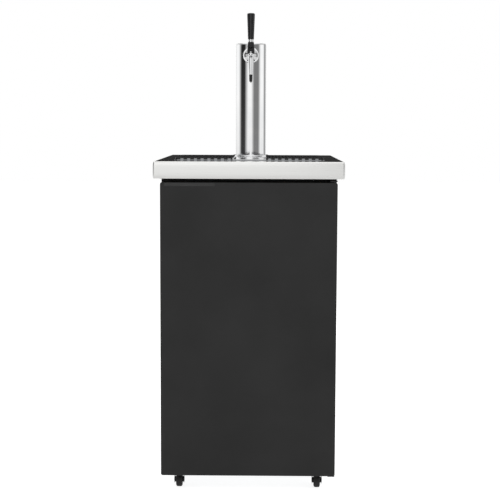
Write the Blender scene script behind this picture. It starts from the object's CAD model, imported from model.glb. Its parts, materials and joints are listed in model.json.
"""Looks of the draft beer cooler: a finish for every piece, finer meshes for the pieces that show,
a white studio and the photograph's camera. Objects, boxes and places are in metres. Sizes and profiles
of pieces are in millimetres, and MM turns them into metres."""

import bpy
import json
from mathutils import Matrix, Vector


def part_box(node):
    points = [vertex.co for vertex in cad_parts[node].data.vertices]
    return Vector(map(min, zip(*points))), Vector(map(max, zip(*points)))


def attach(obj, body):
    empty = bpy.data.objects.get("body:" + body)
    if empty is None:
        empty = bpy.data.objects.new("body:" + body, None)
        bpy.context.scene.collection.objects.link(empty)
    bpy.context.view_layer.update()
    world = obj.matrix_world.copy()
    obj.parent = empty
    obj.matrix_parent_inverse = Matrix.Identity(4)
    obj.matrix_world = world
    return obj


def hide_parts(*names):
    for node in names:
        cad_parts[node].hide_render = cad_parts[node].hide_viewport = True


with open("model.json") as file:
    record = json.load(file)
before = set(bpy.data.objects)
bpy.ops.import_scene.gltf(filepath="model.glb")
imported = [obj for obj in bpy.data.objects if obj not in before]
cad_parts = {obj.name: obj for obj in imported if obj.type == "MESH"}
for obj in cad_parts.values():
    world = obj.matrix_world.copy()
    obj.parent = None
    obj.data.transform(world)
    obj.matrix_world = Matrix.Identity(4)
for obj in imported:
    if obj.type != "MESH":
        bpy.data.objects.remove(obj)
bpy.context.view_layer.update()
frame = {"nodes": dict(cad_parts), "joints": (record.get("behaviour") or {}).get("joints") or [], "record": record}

import json
import math

import bmesh
import bpy
from mathutils import Matrix, Vector

MM = 0.001
X, Y, Z = range(3)
UP = (0, 0, 1)
FORWARD = (0, -1, 0)
SIDEWAYS = (1, 0, 0)
NODES = frame["nodes"]
RECORD = frame["record"]
BODY_OF = {node: body for body, nodes in RECORD["behaviour"]["bodies"].items() for node in nodes}
SLOT_OF = {part["node"]: part["material_slot"] for part in RECORD["subparts"]}
JOINTS = {joint["name"]: joint for joint in frame["joints"]}
scene = bpy.context.scene


# Camera

PHOTO_PX = 500
FOCAL_PX = 1232.2
SENSOR_MM = 36.0
CAMERA_AT = Vector((0.0463, -4.2112, 1.1765))
CAMERA_PITCH = math.radians(5.921)
CAMERA_YAW = math.radians(-0.625)
CAMERA_ROLL = math.radians(-0.215)
CAMERA_REACH = 50


def place_camera():
    """The photograph's camera, fitted to the worktop's corners, the tower and the casters."""
    ahead = math.cos(CAMERA_PITCH)
    forward = Vector((math.sin(CAMERA_YAW) * ahead, math.cos(CAMERA_YAW) * ahead, -math.sin(CAMERA_PITCH)))
    level = Vector((math.cos(CAMERA_YAW), -math.sin(CAMERA_YAW), 0))
    down = forward.cross(level)
    right = math.cos(CAMERA_ROLL) * level + math.sin(CAMERA_ROLL) * down
    up = math.sin(CAMERA_ROLL) * level - math.cos(CAMERA_ROLL) * down
    data = bpy.data.cameras.new("photo_camera")
    data.sensor_width = SENSOR_MM
    data.lens = FOCAL_PX * SENSOR_MM / PHOTO_PX
    data.clip_end = CAMERA_REACH
    camera = bpy.data.objects.new("photo_camera", data)
    facing = Matrix((right, up, -forward)).transposed().to_4x4()
    camera.matrix_world = Matrix.Translation(CAMERA_AT) @ facing
    scene.collection.objects.link(camera)
    scene.camera = camera


# Finishes

# Most of a noise pattern's values lie between these
NOISE_LOW = 0.3
NOISE_HIGH = 0.7

# A Mix node's colour sockets by number, because its other sockets have the same names
MIX_FIRST = 6
MIX_SECOND = 7
MIX_RESULT = 2


def linear(colour):
    """An sRGB hex colour as linear RGBA."""
    parts = [int(colour[i:i + 2], 16) / 255 for i in (1, 3, 5)]
    return [c / 12.92 if c <= 0.04045 else ((c + 0.055) / 1.055) ** 2.4 for c in parts] + [1.0]


def add(tree, kind, inputs=None, **settings):
    """Adds a node with its settings; an input takes a value or another node's output."""
    node = tree.nodes.new(kind)
    for name, value in settings.items():
        setattr(node, name, value)
    for name, value in (inputs or {}).items():
        if isinstance(value, bpy.types.NodeSocket):
            tree.links.new(value, node.inputs[name])
        else:
            node.inputs[name].default_value = value
    return node


def cells(size_mm):
    """Texture scale at which one cell of a pattern is that many millimetres wide."""
    return 1 / (size_mm * MM)


def new_material(name):
    """A material with an empty tree."""
    material = bpy.data.materials.new(name)
    material.use_nodes = True
    material.node_tree.nodes.clear()
    return material, material.node_tree


def new_finish(name, **sockets):
    """A material whose shader has its constant values, with its tree, shader and object coordinates."""
    material, tree = new_material(name)
    values = {socket.replace("_", " "): value for socket, value in sockets.items()}
    shader = add(tree, "ShaderNodeBsdfPrincipled", values)
    add(tree, "ShaderNodeOutputMaterial", {"Surface": shader.outputs[0]})
    place = add(tree, "ShaderNodeTexCoord").outputs["Object"]
    return material, tree, shader, place


def tint(tree, shader, pattern, dark, light, low=NOISE_LOW, high=NOISE_HIGH):
    """Base colour between two shades by a pattern's value."""
    ramp = add(tree, "ShaderNodeMapRange", {"Value": pattern, "From Min": low, "From Max": high})
    shades = {"Factor": ramp.outputs[0], MIX_FIRST: linear(dark), MIX_SECOND: linear(light)}
    mix = add(tree, "ShaderNodeMix", shades, data_type="RGBA")
    tree.links.new(mix.outputs[MIX_RESULT], shader.inputs["Base Color"])


def spread(tree, shader, pattern, low, high):
    """Roughness between two values by a pattern's value."""
    ramp = add(tree, "ShaderNodeMapRange", {"Value": pattern, "From Min": NOISE_LOW, "From Max": NOISE_HIGH,
                                            "To Min": low, "To Max": high})
    tree.links.new(ramp.outputs[0], shader.inputs["Roughness"])


def emboss(tree, shader, pattern, height_mm, strength):
    """Relief of a pattern, at its real height."""
    bump = add(tree, "ShaderNodeBump", {"Height": pattern, "Distance": height_mm * MM, "Strength": strength})
    tree.links.new(bump.outputs[0], shader.inputs["Normal"])


def charcoal_coating():
    """Charcoal vinyl-coated steel: a flat satin black-grey with a fine pressed stipple and a faint cloud."""
    material, tree, shader, place = new_finish("charcoal_coating", Specular_IOR_Level=0.12)
    cloud = add(tree, "ShaderNodeTexNoise", {"Vector": place, "Scale": cells(260), "Detail": 3.0})
    stipple = add(tree, "ShaderNodeTexNoise", {"Vector": place, "Scale": cells(1.6), "Detail": 2.0})
    tint(tree, shader, cloud.outputs[0], "#252525", "#2b2b2b")
    spread(tree, shader, stipple.outputs[0], 0.50, 0.62)
    emboss(tree, shader, stipple.outputs[0], height_mm=0.12, strength=0.5)
    return material


def brushed_steel(name, dark, light, rough_low, rough_high):
    """Stainless steel brushed along its length: long level scratches, wider than real so that they show."""
    material, tree, shader, place = new_finish(name, Metallic=1.0)
    run = add(tree, "ShaderNodeMapping", {"Vector": place, "Scale": (cells(140), cells(140), cells(0.9))})
    scratches = add(tree, "ShaderNodeTexNoise", {"Vector": run.outputs[0], "Scale": 1.0, "Detail": 4.0})
    tint(tree, shader, scratches.outputs[0], dark, light)
    spread(tree, shader, scratches.outputs[0], rough_low, rough_high)
    emboss(tree, shader, scratches.outputs[0], height_mm=0.012, strength=0.5)
    return material


def black_laminate():
    """High-pressure laminate: glossy and near black, with the faint waviness of a pressed sheet."""
    material, tree, shader, place = new_finish("black_laminate", Specular_IOR_Level=0.4)
    wave = add(tree, "ShaderNodeTexNoise", {"Vector": place, "Scale": cells(14), "Detail": 2.0})
    cloud = add(tree, "ShaderNodeTexNoise", {"Vector": place, "Scale": cells(120), "Detail": 4.0})
    tint(tree, shader, cloud.outputs[0], "#141415", "#1b1b1c")
    spread(tree, shader, cloud.outputs[0], 0.03, 0.06)
    emboss(tree, shader, wave.outputs[0], height_mm=0.001, strength=0.5)
    return material


def tower_chrome():
    """Polished chrome plate: a mirror with faint wiping marks in its gloss."""
    material, tree, shader, place = new_finish("tower_chrome", Metallic=1.0)
    wipe = add(tree, "ShaderNodeTexNoise", {"Vector": place, "Scale": cells(45), "Detail": 5.0})
    tint(tree, shader, wipe.outputs[0], "#f2f3f4", "#fafafa")
    spread(tree, shader, wipe.outputs[0], 0.035, 0.075)
    return material


def turned_brass():
    """Brass turned on a lathe: warm yellow with a fine uneven cut."""
    material, tree, shader, place = new_finish("turned_brass", Metallic=1.0)
    tool = add(tree, "ShaderNodeTexNoise", {"Vector": place, "Scale": cells(2.5), "Detail": 3.0})
    tint(tree, shader, tool.outputs[0], "#b08d3e", "#cdaa58")
    spread(tree, shader, tool.outputs[0], 0.22, 0.36)
    return material


def wall_foam():
    """Polyurethane foam: buff, open pored."""
    material, tree, shader, place = new_finish("wall_foam", Specular_IOR_Level=0.2)
    pores = add(tree, "ShaderNodeTexVoronoi", {"Vector": place, "Scale": cells(2.2)})
    tint(tree, shader, pores.outputs[0], "#c9b071", "#e3cf98", low=0.1, high=0.6)
    spread(tree, shader, pores.outputs[0], 0.85, 0.95)
    emboss(tree, shader, pores.outputs[0], height_mm=0.4, strength=0.6)
    return material


def liner_plastic():
    """White vacuum-formed polystyrene: smooth, with the soft orange peel of a drawn sheet."""
    material, tree, shader, place = new_finish("liner_plastic")
    peel = add(tree, "ShaderNodeTexNoise", {"Vector": place, "Scale": cells(5), "Detail": 2.0})
    cloud = add(tree, "ShaderNodeTexNoise", {"Vector": place, "Scale": cells(180), "Detail": 3.0})
    tint(tree, shader, cloud.outputs[0], "#dfe1e1", "#e9ebeb")
    spread(tree, shader, peel.outputs[0], 0.28, 0.42)
    emboss(tree, shader, peel.outputs[0], height_mm=0.06, strength=0.4)
    return material


def moulded_plastic(name, dark, light):
    """ABS moulded in a spark-eroded tool: satin, finely sanded."""
    material, tree, shader, place = new_finish(name, Specular_IOR_Level=0.3)
    spark = add(tree, "ShaderNodeTexNoise", {"Vector": place, "Scale": cells(0.9), "Detail": 2.0})
    cloud = add(tree, "ShaderNodeTexNoise", {"Vector": place, "Scale": cells(60), "Detail": 3.0})
    tint(tree, shader, cloud.outputs[0], dark, light)
    spread(tree, shader, spark.outputs[0], 0.40, 0.54)
    emboss(tree, shader, spark.outputs[0], height_mm=0.04, strength=0.4)
    return material


def polished_black(name, dark, light, rough):
    """Polished black plastic, in the handle a phenolic: deep black under clear gloss, with hairline rubs."""
    material, tree, shader, place = new_finish(name, Specular_IOR_Level=0.3, Coat_Weight=0.15,
                                               Coat_Roughness=0.08)
    rubs = add(tree, "ShaderNodeTexNoise", {"Vector": place, "Scale": cells(14), "Detail": 6.0})
    tint(tree, shader, rubs.outputs[0], dark, light)
    spread(tree, shader, rubs.outputs[0], rough, rough + 0.1)
    return material


def seal_rubber(name, dark, light):
    """Black rubber: dull, a little dusty."""
    material, tree, shader, place = new_finish(name, Specular_IOR_Level=0.3)
    dust = add(tree, "ShaderNodeTexNoise", {"Vector": place, "Scale": cells(9), "Detail": 5.0})
    grit = add(tree, "ShaderNodeTexNoise", {"Vector": place, "Scale": cells(0.8), "Detail": 2.0})
    tint(tree, shader, dust.outputs[0], dark, light)
    spread(tree, shader, dust.outputs[0], 0.62, 0.80)
    emboss(tree, shader, grit.outputs[0], height_mm=0.05, strength=0.5)
    return material


def dark_plating():
    """Black zinc plate on pressed steel: dark, half-shiny, cloudy."""
    material, tree, shader, place = new_finish("dark_plating", Metallic=0.6)
    cloud = add(tree, "ShaderNodeTexNoise", {"Vector": place, "Scale": cells(12), "Detail": 4.0})
    tint(tree, shader, cloud.outputs[0], "#232325", "#343437")
    spread(tree, shader, cloud.outputs[0], 0.34, 0.5)
    return material


def zinc_sheet():
    """Hot-dip zinc on steel sheet: grey spangles about 15 mm across, each with its own tone and gloss."""
    material, tree, shader, place = new_finish("zinc_sheet", Metallic=0.85)
    spangle = add(tree, "ShaderNodeTexVoronoi", {"Vector": place, "Scale": cells(15), "Randomness": 1.0})
    tone = add(tree, "ShaderNodeSeparateColor", {"Color": spangle.outputs["Color"]})
    tint(tree, shader, tone.outputs[0], "#a0a4a7", "#b0b4b7", low=0.0, high=1.0)
    spread(tree, shader, tone.outputs[1], 0.38, 0.46)
    return material


def black_enamel():
    """Baked black enamel: glossy, with a slight sag in the coat."""
    material, tree, shader, place = new_finish("black_enamel")
    sag = add(tree, "ShaderNodeTexNoise", {"Vector": place, "Scale": cells(7), "Detail": 2.0})
    tint(tree, shader, sag.outputs[0], "#141415", "#1c1c1d")
    spread(tree, shader, sag.outputs[0], 0.22, 0.34)
    emboss(tree, shader, sag.outputs[0], height_mm=0.05, strength=0.4)
    return material


def fin_aluminium():
    """Bare aluminium fins: pale grey with roll marks along Z."""
    material, tree, shader, place = new_finish("fin_aluminium", Metallic=1.0)
    run = add(tree, "ShaderNodeMapping", {"Vector": place, "Scale": (cells(2), cells(2), cells(60))})
    marks = add(tree, "ShaderNodeTexNoise", {"Vector": run.outputs[0], "Scale": 1.0, "Detail": 3.0})
    tint(tree, shader, marks.outputs[0], "#b9bcbe", "#d0d2d4")
    spread(tree, shader, marks.outputs[0], 0.3, 0.45)
    return material


def copper_tube():
    """Drawn copper tube, browned in patches."""
    material, tree, shader, place = new_finish("copper_tube", Metallic=1.0)
    brown = add(tree, "ShaderNodeTexNoise", {"Vector": place, "Scale": cells(25), "Detail": 5.0})
    tint(tree, shader, brown.outputs[0], "#9a5a3a", "#c98560")
    spread(tree, shader, brown.outputs[0], 0.25, 0.45)
    return material


def core_board():
    """Particle board: buff chips a few millimetres across."""
    material, tree, shader, place = new_finish("core_board", Specular_IOR_Level=0.2)
    chips = add(tree, "ShaderNodeTexVoronoi", {"Vector": place, "Scale": cells(3.5)})
    tone = add(tree, "ShaderNodeSeparateColor", {"Color": chips.outputs["Color"]})
    tint(tree, shader, tone.outputs[0], "#94774d", "#c4a678", low=0.0, high=1.0)
    spread(tree, shader, tone.outputs[1], 0.75, 0.9)
    emboss(tree, shader, chips.outputs[0], height_mm=0.15, strength=0.5)
    return material


FINISHES = {
    "charcoal_paint": charcoal_coating(),
    "steel_band": brushed_steel("brushed_band", "#f6f6f4", "#fbfbf9", 0.27, 0.33),
    "pan_steel": brushed_steel("brushed_pan", "#989a9c", "#a6a8aa", 0.10, 0.16),
    "black_laminate": black_laminate(),
    "core_board": core_board(),
    "chrome": tower_chrome(),
    "nut_brass": turned_brass(),
    "foam": wall_foam(),
    "white_liner": liner_plastic(),
    "black_plastic": moulded_plastic("moulded_black", "#161617", "#1e1e1f"),
    "charcoal_plastic": moulded_plastic("moulded_charcoal", "#282828", "#2e2e2e"),
    "handle_black": polished_black("handle_phenolic", "#151516", "#202021", 0.2),
    "grate_black": polished_black("grate_gloss", "#131314", "#1c1c1d", 0.05),
    "black_rubber": seal_rubber("gasket_rubber", "#1c1c1d", "#29292a"),
    "caster_tread": seal_rubber("tread_rubber", "#1b1b1c", "#2c2b2a"),
    "caster_metal": dark_plating(),
    "zinc_sheet": zinc_sheet(),
    "black_enamel": black_enamel(),
    "coil_aluminium": fin_aluminium(),
    "copper_tube": copper_tube(),
}


def coat(piece, slot):
    """Gives a piece the finish of a material slot."""
    piece.data.materials.clear()
    piece.data.materials.append(FINISHES[slot])


def wear(piece, node, slot=None):
    """Gives a piece the body of a CAD piece, and its finish or that of another slot."""
    coat(piece, slot or SLOT_OF[node])
    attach(piece, BODY_OF[node])


# CAD pieces that a finished piece stands for
FITTED = set()


def fit(piece, node):
    """Hands over a finished piece that stands for a CAD piece."""
    wear(piece, node)
    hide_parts(node)
    FITTED.add(node)


# Meshes

# Edges that turn by more than this stay sharp: on CAD shapes, on swept ones and on eased ones
SHARP_DEG = 35
SWEPT_SHARP_DEG = 40
EASED_SHARP_DEG = 60

# Points nearer than this are merged: in CAD shapes, and at the seams and poles of swept ones
WELD_MM = 0.005
POLE_MM = 0.0005

# Faces that turn by less than this become one
FLAT_DEG = 0.4

FLAT_WEIGHT = 100
EASED_STEPS = 2
ROD_STEPS = 48


def new_piece(name, mesh):
    """A new object in the scene."""
    piece = bpy.data.objects.new(name, mesh)
    scene.collection.objects.link(piece)
    return piece


def shaped(name, shape):
    """A new object from a worked shape, which is freed."""
    mesh = bpy.data.meshes.new(name)
    shape.to_mesh(mesh)
    shape.free()
    return new_piece(name, mesh)


def settle(piece):
    """Turns a piece's modifiers into plain mesh."""
    shape = bpy.data.meshes.new_from_object(piece.evaluated_get(bpy.context.evaluated_depsgraph_get()))
    piece.modifiers.clear()
    piece.data = shape
    return piece


def smooth(mesh, sharp_deg):
    """Smooth shading up to the sharp edges."""
    for face in mesh.polygons:
        face.use_smooth = True
    mesh.set_sharp_from_angle(angle=math.radians(sharp_deg))


def flat_normals(piece):
    """Keeps the large faces next to a small round from shading like a part of it."""
    flats = piece.modifiers.new("flats", "WEIGHTED_NORMAL")
    flats.weight = FLAT_WEIGHT
    flats.keep_sharp = True
    return settle(piece)


def eased_edges(piece, edge_mm, sharp_deg):
    """Breaks a piece's sharp edges with a small round."""
    bevel = piece.modifiers.new("edges", "BEVEL")
    bevel.width = edge_mm * MM
    bevel.segments = EASED_STEPS
    bevel.limit_method = "ANGLE"
    bevel.angle_limit = math.radians(sharp_deg)
    settle(piece)
    smooth(piece.data, EASED_SHARP_DEG)
    return flat_normals(piece)


def finished(piece, sharp_deg, edge_mm=0):
    """Smooths a piece up to its sharp edges, and breaks those where a width is given."""
    smooth(piece.data, sharp_deg)
    if edge_mm:
        return eased_edges(piece, edge_mm, sharp_deg)
    return flat_normals(piece)


def welded(node):
    """A CAD piece's shape, with its points merged and its flat faces whole."""
    shape = bmesh.new()
    shape.from_mesh(NODES[node].data)
    bmesh.ops.remove_doubles(shape, verts=shape.verts, dist=WELD_MM * MM)
    bmesh.ops.dissolve_limit(shape, angle_limit=math.radians(FLAT_DEG), verts=shape.verts, edges=shape.edges)
    return shape


def dressed(node, edge_mm):
    """Stands a welded and smooth copy in for a CAD piece, with its edges broken where a width is given."""
    fit(finished(shaped(node + "_skin", welded(node)), SHARP_DEG, edge_mm), node)


def carved(piece, rods):
    """Cuts round rods along Y out of a piece, each given by its middle, radius and length."""
    shape = bmesh.new()
    for at, radius, length in rods:
        place = Matrix.Translation(at) @ Matrix.Rotation(math.pi / 2, 4, "X")
        bmesh.ops.create_cone(shape, cap_ends=True, segments=ROD_STEPS, radius1=radius * MM,
                              radius2=radius * MM, depth=length * MM, matrix=place)
    tool = shaped("rods", shape)
    cut = piece.modifiers.new("cut", "BOOLEAN")
    cut.object = tool
    cut.operation = "DIFFERENCE"
    settle(piece)
    bpy.data.objects.remove(tool)
    return finished(piece, SHARP_DEG)


# Profiles and the shapes made from them

# A rounded corner takes up to this share of its sides, and one opened wider than this angle stays as it is
ROUND_SHARE = 0.45
STRAIGHT_DEG = 150
ROUND_STEPS = 4


def arc(centre, radius, start_deg, end_deg, steps=8, rise=None, power=2):
    """Points of an arc in a profile; a rise makes it an ellipse, and a power over 2 a squarer one."""
    points = []
    for i in range(steps + 1):
        turn = math.radians(start_deg + (end_deg - start_deg) * i / steps)
        parts = (math.cos(turn), math.sin(turn))
        across, up = [math.copysign(abs(part) ** (2 / power), part) for part in parts]
        points.append((centre[0] + radius * across, centre[1] + (rise or radius) * up))
    return points


def rounded(points, radius, closed):
    """A profile with its corners rounded, each over no more than a share of the sides that meet there."""
    result = []
    for i, point in enumerate(points):
        corner = Vector(point)
        back = Vector(points[i - 1]) - corner
        ahead = Vector(points[(i + 1) % len(points)]) - corner
        reach = min(radius, ROUND_SHARE * back.length, ROUND_SHARE * ahead.length)
        at_end = not closed and i in (0, len(points) - 1)
        if at_end or reach == 0 or back.angle(ahead) > math.radians(STRAIGHT_DEG):
            result.append(corner)
            continue
        start = corner + back.normalized() * reach
        end = corner + ahead.normalized() * reach
        for step in range(ROUND_STEPS + 1):
            t = step / ROUND_STEPS
            result.append(start.lerp(corner, t).lerp(corner.lerp(end, t), t))
    return result


def lofted(name, rings, closed, place):
    """A skin over a loop of profiles, set in its place."""
    shape = bmesh.new()
    loops = [[shape.verts.new(Vector(point) * MM) for point in ring] for ring in rings]
    for i, loop in enumerate(loops):
        following = loops[(i + 1) % len(loops)]
        for j in range(len(loop) if closed else len(loop) - 1):
            k = (j + 1) % len(loop)
            shape.faces.new((loop[j], following[j], following[k], loop[k]))
    bmesh.ops.remove_doubles(shape, verts=shape.verts, dist=POLE_MM * MM)
    bmesh.ops.recalc_face_normals(shape, faces=shape.faces)
    shape.transform(place)
    return finished(shaped(name, shape), SWEPT_SHARP_DEG)


def turned(name, profile, at, aim=UP, edge_mm=0.4, closed=False, steps=96):
    """A piece turned on a lathe from a profile of radius and height, set at a point on its axis."""
    outline = rounded(profile, edge_mm, closed)
    turns = [2 * math.pi * i / steps for i in range(steps)]
    rings = [[(r * math.cos(turn), r * math.sin(turn), h) for r, h in outline] for turn in turns]
    stance = Vector(aim).to_track_quat("Z", "Y").to_matrix().to_4x4()
    return lofted(name, rings, closed, Matrix.Translation(at) @ stance)


def framed(name, profile, half_w, half_h, corner, place, steps=10):
    """A closed profile of inset and height, carried round a rectangle with round corners."""
    rings = []
    for quarter, (side_x, side_y) in enumerate(((1, 1), (-1, 1), (-1, -1), (1, -1))):
        for i in range(steps + 1):
            turn = math.radians(90 * (quarter + i / steps))
            ring = []
            for inset, height in profile:
                radius, beyond = max(corner - inset, 0), max(inset - corner, 0)
                ring.append((side_x * (half_w - corner - beyond) + radius * math.cos(turn),
                             side_y * (half_h - corner - beyond) + radius * math.sin(turn), height))
            rings.append(ring)
    return lofted(name, rings, True, place)


def span(node, axis):
    """A CAD piece's size along an axis, in millimetres."""
    low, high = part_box(node)
    return (high[axis] - low[axis]) / MM


def middle(node):
    """The middle of a CAD piece's box."""
    low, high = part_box(node)
    return (low + high) / 2


def above(node, point):
    """A CAD piece's lowest and highest level above a point, in millimetres."""
    low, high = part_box(node)
    return (low.z - point.z) / MM, (high.z - point.z) / MM


# Gap left where one piece slips into another
SLIP = 0.1


# Tower

COLUMN_R = span("tower_column", X) / 2
COLUMN_WALL = 1.5
CAP_LAP = 1
TOWER_STEPS = 160


def on_tower_axis(level):
    """The point of the tower's axis at a level in metres."""
    centre = middle("tower_column")
    return Vector((centre.x, centre.y, level))


def turn_column():
    """Column: a tube that stops where the cap laps it."""
    inner = COLUMN_R - COLUMN_WALL
    top = span("tower_column", Z) - CAP_LAP
    profile = [(inner, 0), (COLUMN_R, 0), (COLUMN_R, top), (inner, top)]
    foot = on_tower_axis(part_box("tower_column")[0].z)
    fit(turned("column", profile, foot, edge_mm=0.2, closed=True, steps=TOWER_STEPS), "tower_column")


def turn_cap():
    """Cap: a soft edge over the column's end, and a skirt inside it."""
    head = on_tower_axis(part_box("tower_column")[1].z)
    skirt_end, top = above("tower_cap", head)
    soft, wall = 4.5, 2
    skirt_r = COLUMN_R - COLUMN_WALL - SLIP
    profile = [(0, top)]
    profile += arc((COLUMN_R - soft, -CAP_LAP), soft, 90, 0, steps=10, rise=top + CAP_LAP)
    profile += [(skirt_r, -CAP_LAP), (skirt_r, skirt_end), (skirt_r - wall, skirt_end),
                (skirt_r - wall, -CAP_LAP), (0, -CAP_LAP)]
    fit(turned("cap", profile, head, edge_mm=0.2, steps=TOWER_STEPS), "tower_cap")


def turn_base_flange():
    """Base flange: a ring round the column's foot with a rolled rim."""
    bore, rim, roll = COLUMN_R + SLIP, span("tower_flange", X) / 2, 3
    thick = span("tower_flange", Z)
    profile = [(bore, 0), (rim, 0)] + arc((rim - roll, thick - roll), roll, 0, 90) + [(bore, thick)]
    foot = on_tower_axis(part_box("tower_flange")[0].z)
    fit(turned("flange", profile, foot, edge_mm=0.3, closed=True, steps=TOWER_STEPS), "tower_flange")


# Faucet

SHANK = middle("faucet_shank")
PIVOT = Vector(JOINTS["tap_lever"]["pos_m"])
BARREL_R = 10.45
BARREL_L = 60
LEVER_R = 3.6
SPOUT_LEAN = math.radians(18)
SPOUT_WAY = Vector((0, -math.sin(SPOUT_LEAN), -math.cos(SPOUT_LEAN)))
TIP_R = span("spout_tip", X) / 2
SPOUT_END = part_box("spout_tip")[0] + Vector((1, math.cos(SPOUT_LEAN), math.sin(SPOUT_LEAN))) * TIP_R * MM


def turn_shank_flange():
    """Shank flange: a dish against the column, with a bead round its rim and a low cone inside the bead."""
    face = Vector((SHANK.x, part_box("tower_column")[0].y, SHANK.z))
    nose = (face.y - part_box("shank_flange")[0].y) / MM
    trim, tail, bead, bead_drop = 0.6, 12, 2, 3.2
    rim = span("shank_flange", X) / 2 - trim
    bore = span("faucet_shank", X) / 2 + SLIP
    bead_top = nose - bead_drop
    cone = [(rim - inset, nose - drop) for inset, drop in ((4.8, 3), (10, 0.4), (12, 0))]
    profile = [(bore, -tail), (rim, -tail)] + arc((rim - bead, bead_top - bead), bead, 0, 90)
    profile += [(rim - 2 * bead, bead_top)] + cone + [(bore, nose)]
    fit(turned("flange_dish", profile, face, aim=FORWARD, edge_mm=0.3, closed=True), "shank_flange")


def turn_nut():
    """Coupling nut: a drum and a cone, with four spanner holes in the cone."""
    radius, height = span("coupling_nut", X) / 2, span("coupling_nut", Y)
    bore, nose_r = 9.7, 11.4
    hole_r, hole_ring, hole_rod = 2, 14.25, 1.2 * height
    back = Vector((SHANK.x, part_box("coupling_nut")[1].y, SHANK.z))
    drops = ((radius, 4.6), (radius - 0.6, 3.8), (nose_r + 0.8, 0.8), (nose_r, 0))
    profile = [(bore, 0), (radius, 0)] + [(r, height - drop) for r, drop in drops] + [(bore, height)]
    nut = turned("nut", profile, back, aim=FORWARD, closed=True)
    front = back + Vector(FORWARD) * height * MM
    ways = ((1, 0), (-1, 0), (0, 1), (0, -1))
    holes = [(front + Vector((x, 0, z)) * hole_ring * MM, hole_r, hole_rod) for x, z in ways]
    fit(carved(nut, holes), "coupling_nut")


def turn_tip():
    """Spout tip: a neck in the spout and a sleeve that narrows to the mouth, which is at height 0."""
    bore, neck_r, neck_top, sleeve_top = 3.4, 4.7, -34.7, -22.9
    sleeve = [(5.7, sleeve_top), (5.5, -10), (5.0, 0)]
    profile = [(bore, neck_top), (neck_r, neck_top), (neck_r, sleeve_top)] + sleeve + [(bore, 0)]
    fit(turned("tip", profile, SPOUT_END, aim=SPOUT_WAY, edge_mm=0.6, closed=True), "spout_tip")


def draw_spout():
    """Faucet body with its spout drawn thinner towards the tip."""
    taper_start, taper_run, taper_share = -82, 59, 0.34
    shape = welded("faucet_body")
    for vert in shape.verts:
        along = (vert.co - SPOUT_END).dot(SPOUT_WAY)
        taper = min(max((along / MM - taper_start) / taper_run, 0), 1)
        axis = SPOUT_END + along * SPOUT_WAY
        vert.co = axis + (vert.co - axis) * (1 - taper_share * taper)
    fit(finished(shaped("spout", shape), SHARP_DEG, edge_mm=0.4), "faucet_body")


def turn_bonnet_skirt():
    """Skirt that carries the bonnet down round the faucet's barrel, which is cut out of it."""
    radius, wall, tall = span("faucet_bonnet", X) / 2, 3.4, 8
    chamfer_w, chamfer_h = 1, 1.6
    top = above("faucet_bonnet", PIVOT)[0]
    profile = [(radius - wall, top), (radius, top), (radius, top - tall + chamfer_h),
               (radius - chamfer_w, top - tall), (radius - wall, top - tall)]
    skirt = turned("bonnet_skirt", profile, PIVOT, edge_mm=0.5, closed=True)
    barrel = (Vector((PIVOT.x, PIVOT.y, SHANK.z)), BARREL_R, BARREL_L)
    wear(carved(skirt, [barrel]), "faucet_bonnet")


def turn_handle():
    """Tap handle: wider towards its round head, with a socket for the lever in its foot."""
    foot, head = above("tap_handle", PIVOT)
    foot_r, head_r, round_r, socket = 10.25, span("tap_handle", X) / 2, 5, 10
    profile = [(0, foot + socket), (LEVER_R, foot + socket), (LEVER_R, foot), (foot_r, foot)]
    profile += arc((head_r - round_r, head - round_r), round_r, 0, 90) + [(0, head)]
    fit(turned("handle", profile, PIVOT, edge_mm=0.8), "tap_handle")


def turn_ferrule():
    """Ferrule below the handle, with a groove round its middle."""
    low, high = above("handle_ferrule", PIVOT)
    outer, groove_r = span("handle_ferrule", X) / 2, span("handle_ferrule", X) / 2 - 1
    wall = ((outer, 0), (outer, 0.38), (groove_r, 0.44), (groove_r, 0.56), (outer, 0.62), (outer, 1))
    profile = [(LEVER_R, low)] + [(r, low + share * (high - low)) for r, share in wall] + [(LEVER_R, high)]
    fit(turned("ferrule", profile, PIVOT, edge_mm=0.5, closed=True), "handle_ferrule")


# Worktop and drip tray

SPLASH_W = 108


def roll_band():
    """Steel band of the worktop: one sheet with a soft shoulder above, and below a rolled edge turned in."""
    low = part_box("worktop_band")[0]
    wide, deep, tall = [span("worktop_band", axis) for axis in (X, Y, Z)]
    lip, thick = (wide - span("worktop_panel", X)) / 2 - SLIP, 1.5
    shoulder_w, shoulder_h, shoulder_power = 6.4, 20, 3
    roll_w, roll_h, roll_power, turn_in = 4.8, 17, 2.6, 13.5
    inside_box = 0.001
    faces = []
    for depth in (0, thick):
        shoulder = arc((shoulder_w, tall - shoulder_h), shoulder_w - depth, 90, 180,
                       rise=shoulder_h - depth, power=shoulder_power)
        roll = arc((roll_w, roll_h), roll_w - depth, 180, 270, rise=roll_h - depth, power=roll_power)
        faces.append([(lip, tall - depth)] + shoulder + roll + [(turn_in, depth)])
    outside, inside = faces
    centre = middle("worktop_band")
    place = Matrix.Translation((centre.x, centre.y, low.z))
    band = framed("band", outside + inside[::-1], wide / 2 - inside_box, deep / 2 - inside_box, lip, place)
    fit(band, "worktop_band")


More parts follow.
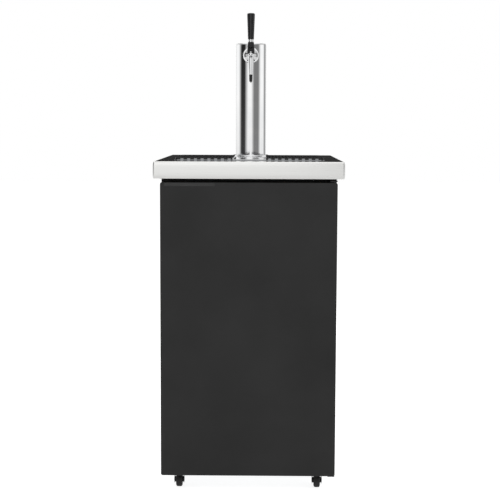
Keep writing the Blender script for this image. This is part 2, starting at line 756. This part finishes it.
def part_grate():
    """Drip grate in two finishes: slotted sides in gloss black, and a polished splash plate between them."""
    half = SPLASH_W / 2 * MM
    for name, is_plate in (("grate_sides", False), ("splash_plate", True)):
        shape = welded("drip_grate")
        for side in (-half, half):
            everything = shape.verts[:] + shape.edges[:] + shape.faces[:]
            bmesh.ops.bisect_plane(shape, geom=everything, plane_co=(side, 0, 0), plane_no=SIDEWAYS)
        gone = [face for face in shape.faces if (abs(face.calc_center_median().x) < half) != is_plate]
        bmesh.ops.delete(shape, geom=gone, context="FACES")
        bmesh.ops.holes_fill(shape, edges=[edge for edge in shape.edges if edge.is_boundary], sides=0)
        bmesh.ops.recalc_face_normals(shape, faces=shape.faces)
        piece = finished(shaped(name, shape), SHARP_DEG, edge_mm=0.35)
        if is_plate:
            wear(piece, "drip_grate", "chrome")
        else:
            fit(piece, "drip_grate")


# Cabinet and door

def seal_door():
    """Bellows gasket round the back of the door: a base, one fold and the magnet's pocket."""
    wide, deep, tall = [span("door_gasket", axis) for axis in (X, Y, Z)]
    section_w, round_mm = 20, 0.5
    half = [(2, 0), (2, 2.2), (5.5, 3.2), (3.2, 4.7), (5.5, 6.2), (0, 7.2), (0, deep - 0.8), (0.8, deep)]
    profile = half + [(section_w - inset, height) for inset, height in reversed(half)]
    centre = middle("door_gasket")
    upright = Matrix(((-1, 0, 0, 0), (0, 0, 1, 0), (0, 1, 0, 0), (0, 0, 0, 1)))
    place = Matrix.Translation((centre.x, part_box("door_gasket")[0].y, centre.z)) @ upright
    bellows = framed("bellows", rounded(profile, round_mm, True), wide / 2, tall / 2, 0, place, steps=1)
    fit(bellows, "door_gasket")


def draw_liner():
    """Inner liner with the fillets of a drawn sheet in its corners."""
    fillet, fillet_steps, corner_deg = 9, 5, 60
    shape = welded("inner_liner")
    hollows = [edge for edge in shape.edges if len(edge.link_faces) == 2 and not edge.is_convex]
    corners = [edge for edge in hollows if edge.calc_face_angle() > math.radians(corner_deg)]
    bmesh.ops.bevel(shape, geom=corners, offset=fillet * MM, segments=fillet_steps, profile=0.5,
                    affect="EDGES")
    fit(finished(shaped("liner", shape), SWEPT_SHARP_DEG), "inner_liner")


# Casters

CORNERS = ("front_left", "front_right", "rear_left", "rear_right")


def turn_wheel(corner):
    """Caster wheel with a crowned tread, a dished web and a hub."""
    node = "caster_wheel_" + corner
    radius, hub = span(node, Z) / 2, span(node, X) / 2
    bore, hub_r, chamfer, web, crown, crown_h = 4.05, 9, 0.6, 7, 5.5, 4.5
    dish = [(hub_r, web + 1), (hub_r + 1.5, web), (16, web), (17.5, 9.4), (19, 10)]
    half = [(bore, hub), (hub_r - chamfer, hub), (hub_r, hub - chamfer)] + dish
    half += arc((radius - crown, crown_h), crown, 80, 0, steps=6)
    profile = half + [(r, -h) for r, h in reversed(half)]
    wheel = turned("wheel_" + corner, profile, middle(node), aim=SIDEWAYS, edge_mm=0.5, closed=True, steps=72)
    fit(wheel, node)


def press_fork(corner):
    """Caster fork with legs of pressed sheet, thinner than the CAD's."""
    node = "caster_fork_" + corner
    leg_inside, leg_share = 14 * MM, 0.46
    shape = welded(node)
    centre = middle(node).x
    for vert in shape.verts:
        out = vert.co.x - centre
        if abs(out) > leg_inside:
            vert.co.x = centre + math.copysign(leg_inside + (abs(out) - leg_inside) * leg_share, out)
    fit(finished(shaped("fork_" + corner, shape), SHARP_DEG, edge_mm=0.4), node)


# Screws

# Sizes of a screw head, each as a share of one of the tree's inputs
SCREW_SHARES = {
    "crown": ("Radius", 0.62),
    "slot_length": ("Radius", 0.95),
    "slot_width": ("Radius", 0.24),
    "slot_lift": ("Height", 1.45),
}
SCREW_STEPS = 28


def screw_tree():
    """Geometry nodes: a pan head with a cross recess on every point, turned to the point's aim."""
    tree = bpy.data.node_groups.new("screw_heads", "GeometryNodeTree")
    sockets = (("Places", "Geometry"), ("Radius", "Float"), ("Height", "Float"), ("Finish", "Material"))
    for name, kind in sockets:
        tree.interface.new_socket(name, in_out="INPUT", socket_type="NodeSocket" + kind)
    tree.interface.new_socket("Heads", in_out="OUTPUT", socket_type="NodeSocketGeometry")
    given = add(tree, "NodeGroupInput").outputs
    size = {}
    for name, (source, share) in SCREW_SHARES.items():
        product = add(tree, "ShaderNodeMath", {0: given[source], 1: share}, operation="MULTIPLY")
        size[name] = product.outputs[0]
    blank = add(tree, "GeometryNodeMeshCone", {"Vertices": SCREW_STEPS, "Radius Top": size["crown"],
                                               "Radius Bottom": given["Radius"], "Depth": given["Height"]})
    lift = add(tree, "ShaderNodeCombineXYZ", {"Z": size["slot_lift"]})
    head = add(tree, "GeometryNodeMeshBoolean", {0: blank.outputs[0]}, operation="DIFFERENCE", solver="EXACT")
    for x, y in (("slot_length", "slot_width"), ("slot_width", "slot_length")):
        bar_size = add(tree, "ShaderNodeCombineXYZ", {"X": size[x], "Y": size[y], "Z": given["Height"]})
        bar = add(tree, "GeometryNodeMeshCube", {"Size": bar_size.outputs[0]})
        raised = add(tree, "GeometryNodeTransform", {"Geometry": bar.outputs[0],
                                                     "Translation": lift.outputs[0]})
        tree.links.new(raised.outputs[0], head.inputs[1])
    aim = add(tree, "GeometryNodeInputNamedAttribute", {"Name": "aim"}, data_type="FLOAT_VECTOR")
    turn = add(tree, "FunctionNodeAlignRotationToVector", {"Vector": aim.outputs[0]}, axis="Z")
    placed = add(tree, "GeometryNodeInstanceOnPoints", {"Points": given["Places"],
                                                        "Instance": head.outputs[0],
                                                        "Rotation": turn.outputs[0]})
    real = add(tree, "GeometryNodeRealizeInstances", {0: placed.outputs[0]})
    done = add(tree, "GeometryNodeSetMaterial", {"Geometry": real.outputs[0], "Material": given["Finish"]})
    add(tree, "NodeGroupOutput", {0: done.outputs[0]})
    return tree


def islands(node):
    """The separate solids of a CAD piece, as lists of points."""
    shape = welded(node)
    reached, groups = set(), []
    for first in shape.verts:
        if first in reached:
            continue
        reached.add(first)
        queue, group = [first], []
        while queue:
            vert = queue.pop()
            group.append(vert.co.copy())
            for edge in vert.link_edges:
                other = edge.other_vert(vert)
                if other not in reached:
                    reached.add(other)
                    queue.append(other)
        groups.append(group)
    shape.free()
    return groups


def drive_screws():
    """Cross-recess heads where the CAD has plain ones, all of one size: a head's short side gives its aim."""
    places, aims = [], []
    centre = middle("cabinet_foam")
    for points in islands("fasteners"):
        low = Vector([min(point[i] for point in points) for i in range(3)])
        high = Vector([max(point[i] for point in points) for i in range(3)])
        size = high - low
        axis = min(range(3), key=lambda i: size[i])
        aim = Vector((0, 0, 0))
        aim[axis] = 1 if (low + high)[axis] / 2 > centre[axis] else -1
        places.append((low + high) / 2)
        aims.append(aim)
    mesh = bpy.data.meshes.new("screw_heads")
    mesh.from_pydata(places, [], [])
    stored = mesh.attributes.new("aim", "FLOAT_VECTOR", "POINT")
    stored.data.foreach_set("vector", [part for aim in aims for part in aim])
    heads = new_piece("screw_heads", mesh)
    tree = screw_tree()
    inputs = {item.name: item.identifier for item in tree.interface.items_tree if item.in_out == "INPUT"}
    modifier = heads.modifiers.new("heads", "NODES")
    modifier.node_group = tree
    modifier[inputs["Radius"]] = max(size) / 2
    modifier[inputs["Height"]] = min(size)
    modifier[inputs["Finish"]] = FINISHES[SLOT_OF["fasteners"]]
    fit(settle(heads), "fasteners")


# Studio

ROOM_LIGHT = 0.55
LAMP_AIM = Vector((0, 0, 0.7))
LAMPS = (
    ("key", Vector((-1.8, -3.2, 3.2)), 2.4, 90),
    ("fill", Vector((2.6, -2.6, 1.8)), 2.2, 35),
    ("back", Vector((0.6, 2.8, 3.0)), 2.4, 60),
)
FLOOR_HALF = 20.0
FLOOR_GLOW = 0.86

# Sections of the cards, each point with its radius round the tower, its height and its depth of tone
CARD_R = 2.6
CARD_FOOT = 0.9
CARD_TOP = 2.4
HIGH_TOP = 4.6
FLOOR_CARD_R = CARD_R + 0.05
FLOOR_CARD_FOOT = 0.002
WALL = ((CARD_R, CARD_FOOT, 0.967), (CARD_R, 1.7, 1), (CARD_R, CARD_TOP, 1))
HIGH = ((CARD_R, CARD_TOP, 1), (CARD_R, HIGH_TOP, 1))
LOW = ((0.75, FLOOR_CARD_FOOT, 1), (FLOOR_CARD_R, FLOOR_CARD_FOOT, 1), (FLOOR_CARD_R, 0.75, 1),
       (FLOOR_CARD_R, 0.95, 0.5), (FLOOR_CARD_R, 1.35, 0))
CARD_STEP_DEG = 3
CARD_STEPS = 12

# Each card's two ends in degrees from the camera's side, its grey, its section and the degrees it fades over
CARDS = (
    ("dark_card", -106, -20, "#202020", WALL, 28),
    ("grey_card", 2, 80, "#7a7a7a", WALL, 22),
    ("pale_card", 106, 160, "#8c8c8c", WALL, 22),
    ("back_card", 164, 197, "#1e1e1e", WALL, 0),
    ("high_left", -180, 0, "#a8a8a8", HIGH, 60),
    ("high_right", 0, 180, "#a8a8a8", HIGH, 60),
    ("floor_card", 0, 360, "#d8d8d8", LOW, 0),
)


def ray_gate(tree):
    """1 for rays that show the background as it is: straight to the camera, mirrored or through glass."""
    path = add(tree, "ShaderNodeLightPath").outputs
    shown = path["Is Camera Ray"]
    for ray in ("Is Glossy Ray", "Is Transmission Ray"):
        shown = add(tree, "ShaderNodeMath", {0: shown, 1: path[ray]}, operation="MAXIMUM").outputs[0]
    return shown


def light_room():
    """A white room that lights the cooler softly, and three round lamps that mirrors don't see."""
    world = bpy.data.worlds.new("white_room")
    world.use_nodes = True
    tree = world.node_tree
    tree.nodes.clear()
    strength = add(tree, "ShaderNodeMapRange", {"Value": ray_gate(tree), "To Min": ROOM_LIGHT, "To Max": 1.0})
    sky = add(tree, "ShaderNodeBackground", {"Color": linear("#ffffff"), "Strength": strength.outputs[0]})
    add(tree, "ShaderNodeOutputWorld", {"Surface": sky.outputs[0]})
    scene.world = world
    for name, at, size, watts in LAMPS:
        data = bpy.data.lights.new(name, "AREA")
        data.shape = "DISK"
        data.size = size
        data.energy = watts
        lamp = bpy.data.objects.new(name, data)
        lamp.location = at
        lamp.rotation_euler = (LAMP_AIM - at).to_track_quat("-Z", "Y").to_euler()
        lamp.visible_glossy = False
        scene.collection.objects.link(lamp)


def lay_floor():
    """A white floor that glows enough to meet the white room, and still takes the cooler's shadow."""
    mesh = bpy.data.meshes.new("floor")
    corners = [(x * FLOOR_HALF, y * FLOOR_HALF, 0) for x, y in ((-1, -1), (1, -1), (1, 1), (-1, 1))]
    mesh.from_pydata(corners, [], [(0, 1, 2, 3)])
    material, tree = new_material("floor_white")
    matte = add(tree, "ShaderNodeBsdfDiffuse", {"Color": linear("#b4b4b4")})
    glow = add(tree, "ShaderNodeEmission", {"Color": linear("#ffffff"), "Strength": FLOOR_GLOW})
    both = add(tree, "ShaderNodeAddShader", {0: matte.outputs[0], 1: glow.outputs[0]})
    plain = add(tree, "ShaderNodeBsdfDiffuse", {"Color": linear("#e6e6e6")})
    shown = add(tree, "ShaderNodeMixShader", {0: ray_gate(tree), 1: plain.outputs[0], 2: both.outputs[0]})
    add(tree, "ShaderNodeOutputMaterial", {"Surface": shown.outputs[0]})
    mesh.materials.append(material)
    new_piece("floor", mesh)


def card_paper(name, grey):
    """A glow between white and a grey, by the depth that the card's points carry."""
    material, tree = new_material(name)
    depth = add(tree, "ShaderNodeAttribute", attribute_name="depth")
    shades = {"Factor": depth.outputs["Fac"], MIX_FIRST: linear("#ffffff"), MIX_SECOND: linear(grey)}
    tone = add(tree, "ShaderNodeMix", shades, data_type="RGBA")
    glow = add(tree, "ShaderNodeEmission", {"Color": tone.outputs[MIX_RESULT], "Strength": 1.0})
    add(tree, "ShaderNodeOutputMaterial", {"Surface": glow.outputs[0]})
    return material


def hang_card(name, from_deg, to_deg, grey, section, fade_deg):
    """A grey card that only mirrors see, bent round the tower; it can fade to white at both ends."""
    tower = middle("tower_column")
    sweep = to_deg - from_deg
    steps = max(CARD_STEPS, int(sweep / CARD_STEP_DEG))
    points, depths = [], []
    for i in range(steps + 1):
        swept = sweep * i / steps
        bearing = math.radians(from_deg + swept)
        fade = min(1, min(swept, sweep - swept) / fade_deg) if fade_deg else 1
        for radius, height, depth in section:
            away = radius * Vector((math.sin(bearing), -math.cos(bearing)))
            points.append((tower.x + away.x, tower.y + away.y, height))
            depths.append(depth * fade)
    row = len(section)
    starts = [row * i + j for i in range(steps) for j in range(row - 1)]
    mesh = bpy.data.meshes.new(name)
    mesh.from_pydata(points, [], [(k, k + row, k + row + 1, k + 1) for k in starts])
    mesh.attributes.new("depth", "FLOAT", "POINT").data.foreach_set("value", depths)
    mesh.materials.append(card_paper(name, grey))
    card = new_piece(name, mesh)
    card.visible_camera = False
    card.visible_diffuse = False
    card.visible_shadow = False
    card.visible_transmission = False


# The cooler in its studio

# How wide the edges of these CAD pieces are broken
EDGES_MM = {
    "door_liner": 1.8,
    "door_pull": 0.6,
    "evaporator_shroud": 0.4,
    "keg_floor": 0.3,
    "lever_collar": 0.4,
    "thermostat_knob": 0.5,
    "worktop_panel": 0.3,
    "gas_port": 0.3,
    "cord_gland": 0.4,
    "compressor": 0.5,
}

place_camera()
for name, node in NODES.items():
    coat(node, SLOT_OF[name])
turn_column()
turn_cap()
turn_base_flange()
turn_shank_flange()
turn_nut()
turn_tip()
draw_spout()
turn_bonnet_skirt()
turn_handle()
turn_ferrule()
roll_band()
seal_door()
draw_liner()
for corner in CORNERS:
    turn_wheel(corner)
for corner in CORNERS:
    press_fork(corner)
part_grate()
drive_screws()
for name in NODES:
    if name not in FITTED:
        dressed(name, EDGES_MM.get(name, 0))
light_room()
lay_floor()
for card in CARDS:
    hang_card(*card)

scene.view_settings.view_transform = "Standard"
bpy.context.view_layer.update()
